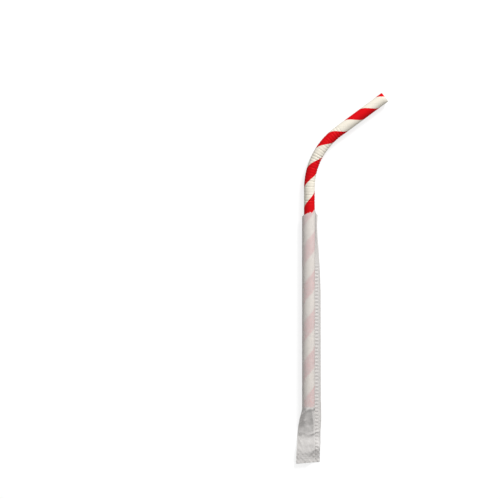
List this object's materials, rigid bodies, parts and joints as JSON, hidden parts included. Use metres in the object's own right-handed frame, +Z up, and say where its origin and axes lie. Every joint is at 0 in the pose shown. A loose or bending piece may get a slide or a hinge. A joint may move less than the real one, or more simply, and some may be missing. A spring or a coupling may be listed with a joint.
{
  "type": "wrapped drinking straw",
  "caption": "Spiral-striped flexible paper straw, bent at its crimped zone, half out of a thin paper wrapper that is torn open at the top and crimped shut along one side and the end.",
  "frame": {"origin": "middle of the part's box, at the bottom, on the surface that it lies on", "axes": "+Y along the wrapped run of the straw, from the wrapper's sealed end towards the mouth; +Z up; the straw bends towards +X"},
  "size_m": [0.0526, 0.2132, 0.0066],
  "materials": {
    "straw_paper": "smooth uncoated kraft, red and cream spiral stripe",
    "wrapper_paper": "thin translucent tissue, faintly glazed"
  },
  "bodies": {
    "root": {"paper_straw": "straw_paper", "paper_wrapper": "wrapper_paper"}
  },
  "joints": []
}
